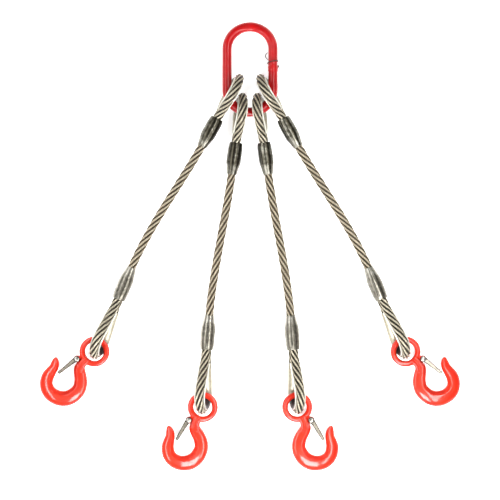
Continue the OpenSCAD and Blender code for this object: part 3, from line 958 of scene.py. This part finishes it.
# name ending, mesh in the hook's frame, material, body ending, slot, CAD node ending, point values
HOOK_PARTS = (
    ("forged_hook", hook_shape(), HOOK_PAINT, "hook", "hook_paint", "hook", {}),
    ("latch_plate", (latch_frame(plate_points), plate_faces), LATCH_ZINC, "latch", "latch_zinc", "latch",
     {"edge": latch_edge(plate_points)}),
    ("latch_rivet", on_pin(pin_shape()), PIN_ZINC, "hook", "pin_zinc", "latch_pin", {}),
    ("latch_coil", on_pin(spring_shape()), SPRING_STEEL, "hook", "spring_steel", "latch_spring", {}),
)
for side in SIDES:
    for leg in LEGS:
        origin, rotation = hook_place(leg)
        for ending, (points, faces), material, body, slot, node, values in HOOK_PARTS:
            name = f"{side}_{leg}"
            obj = piece(f"{name}_{ending}", points @ rotation.T + origin, faces, material, side, **values)
            place(obj, f"{name}_{body}", slot, f"{name}_{node}")

# ---- Master link and tie wire ----

LINK_ARC_R = LINK_INNER_W / 2 + LINK_BAR_R
LINK_STRAIGHT = LINK_INNER_LEN - LINK_INNER_W
WELD_DROP = 31 * MM
WELD_LEN = 12 * MM
WELD_RISE = 0.9 * MM
LINK_STEPS = 98                     # rings along each straight bar
WIRE_R = 0.9 * MM
WIRE_AT = np.array([7, 19, 31, 39]) * MM        # where its stretches start and end, down the bar
WIRE_ANGLE = np.radians([165, 195, 720, 730])   # and round it
WIRE_LOOP = 4 * MM
WIRE_LIFT = 1.6 * MM


def link_place(points):
    """Points of the link's own plane, whose origin is the far arc's centre, in the sling's frame."""
    points = points - [0, LINK_ARC_R, 0]
    return points @ turn("x", -LINK_TILT).T + [0, LINK_TOP_Y + LINK_ARC_R, LINK_BAR_R]


def link_mesh(around=56):
    a = np.linspace(0, math.pi, 121)
    top = LINK_ARC_R * np.column_stack([np.cos(a), np.sin(a)])
    bottom = -top - [0, LINK_STRAIGHT]
    down = np.linspace(0, -LINK_STRAIGHT, LINK_STEPS + 2)[1:-1]
    line = np.vstack([
        top, np.column_stack([np.full(LINK_STEPS, -LINK_ARC_R), down]),
        bottom, np.column_stack([np.full(LINK_STEPS, LINK_ARC_R), down[::-1]]),
    ])
    closed = np.vstack([line[-1], line, line[0]])
    t = unit(closed[2:] - closed[:-2])
    out = np.column_stack([t[:, 1], -t[:, 0]])
    b = 2 * math.pi * np.arange(around) / around
    # The weld is a low uneven collar round the right bar.
    at = (-line[:, 1] - WELD_DROP) / WELD_LEN
    rise = np.where(line[:, 0] > 0, np.clip(3 * np.sin(np.clip(at, 0, 1) * math.pi), 0, 1), 0)
    ripple = 0.75 + 0.25 * np.sin(3 * b[None, :] + 9 * at[:, None]) * np.cos(5 * b[None, :])
    r = LINK_BAR_R + WELD_RISE * rise[:, None] * ripple
    points = np.stack([
        line[:, 0, None] + r * np.cos(b) * out[:, 0, None],
        line[:, 1, None] + r * np.cos(b) * out[:, 1, None],
        r * np.sin(b),
    ], axis=-1)
    return link_place(points.reshape(-1, 3)), loop_faces(len(line), around)


def tie_wire_path():
    """A loose loop on the bar's inner side, one and a half turns, and a short tail."""
    stretches = []
    for k, steps in enumerate((40, 110, 16)):
        t = np.arange(steps) / steps
        lift = (WIRE_LOOP * np.sin(math.pi * t), 0 * t, WIRE_LIFT * np.sin(math.pi / 2 * t))[k]
        stretches.append(np.column_stack([
            WIRE_ANGLE[k] + (WIRE_ANGLE[k + 1] - WIRE_ANGLE[k]) * t,
            WIRE_AT[k] + (WIRE_AT[k + 1] - WIRE_AT[k]) * t, lift]))
    angle, at, lift = np.vstack(stretches).T
    stand = LINK_BAR_R + WIRE_R + FIT + lift
    return link_place(np.column_stack([LINK_ARC_R + stand * np.cos(angle), -at, stand * np.sin(angle)]))


points, faces = link_mesh()
place(piece("master_link_forged", points, faces, LINK_PAINT), "link", "link_paint", "master_link")
points, faces = wire_mesh(tie_wire_path(), WIRE_R, 12)
place(piece("tie_wire_wound", points, faces, TIE_WIRE), "link", "tie_wire", "tie_wire")

# ---- Floor and light ----

FLOOR_HALF = 20                     # half the floor's side
FLOOR_GLOW = 0.55                   # the white table is lit a little from below, which softens shadows
STRIP_X = (-0.85, 0.47)             # the strip lights hang on both sides, the left one further out
STRIP_Z = 1.0
STRIP_SIZE = (0.16, 2.2)
STRIP_POWER = 23
BOX_AT = (0, -1.05, 0.95)           # a soft box over the hooks' end
BOX_SIZE = (0.52, 0.52)
BOX_POWER = 24
# The room's brightness, by the height of a direction: 0 is the horizon and 1 is straight up
ROOM = ((0.0, 0.9), (0.16, 0.8), (0.24, 0.22), (0.6, 0.04))


def add_floor():
    half = FLOOR_HALF
    corners = [(-half, -half, 0), (half, -half, 0), (half, half, 0), (-half, half, 0)]
    s = Shader("floor_white", Roughness=0.7, Emission_Strength=FLOOR_GLOW)
    s.bsdf.inputs["Emission Color"].default_value = (1, 1, 1, 1)
    s.colour(s.ramp(s.noise(2.0, 2), (0.3, (0.90, 0.90, 0.90)), (0.7, (0.94, 0.94, 0.94))))
    data = raw_mesh("floor", corners, [[0, 1, 2, 3]])
    data.materials.append(s.material)
    floor = bpy.data.objects.new("floor", data)
    bpy.context.scene.collection.objects.link(floor)


def add_light(name, at, size, power, aim):
    """A soft box of (width, length) at a place, turned towards aim. Its length runs along Y."""
    data = bpy.data.lights.new(name, "AREA")
    data.shape = "RECTANGLE"
    data.size, data.size_y = size
    data.energy = power
    light = bpy.data.objects.new(name, data)
    bpy.context.scene.collection.objects.link(light)
    light.location = at
    light.rotation_euler = (Vector(aim) - Vector(at)).to_track_quat("-Z", "X").to_euler()


def add_world():
    """A room that is pale round the horizon and dim overhead."""
    world = bpy.data.worlds.new("studio")
    bpy.context.scene.world = world
    world.use_nodes = True
    tree = world.node_tree
    direction = tree.nodes.new("ShaderNodeTexCoord").outputs["Generated"]
    parts = tree.nodes.new("ShaderNodeSeparateXYZ")
    fade = tree.nodes.new("ShaderNodeValToRGB")
    stops = fade.color_ramp.elements
    while len(stops) < len(ROOM):
        stops.new(0.5)
    for stop, (height, bright) in zip(stops, ROOM):
        stop.position = height
        stop.color = (bright, bright, bright, 1)
    tree.links.new(direction, parts.inputs["Vector"])
    tree.links.new(parts.outputs["Z"], fade.inputs["Fac"])
    tree.links.new(fade.outputs["Color"], tree.nodes["Background"].inputs["Strength"])
    tree.nodes["Background"].inputs["Color"].default_value = (1, 1, 1, 1)


add_floor()
add_world()
for x in STRIP_X:
    side = "left" if x < 0 else "right"
    add_light(f"strip_{side}", (x, 0, STRIP_Z), STRIP_SIZE, STRIP_POWER, (x / 2, 0, 0))
add_light("box", BOX_AT, BOX_SIZE, BOX_POWER, (0, -0.3, 0))
bpy.context.scene.view_settings.view_transform = "Standard"
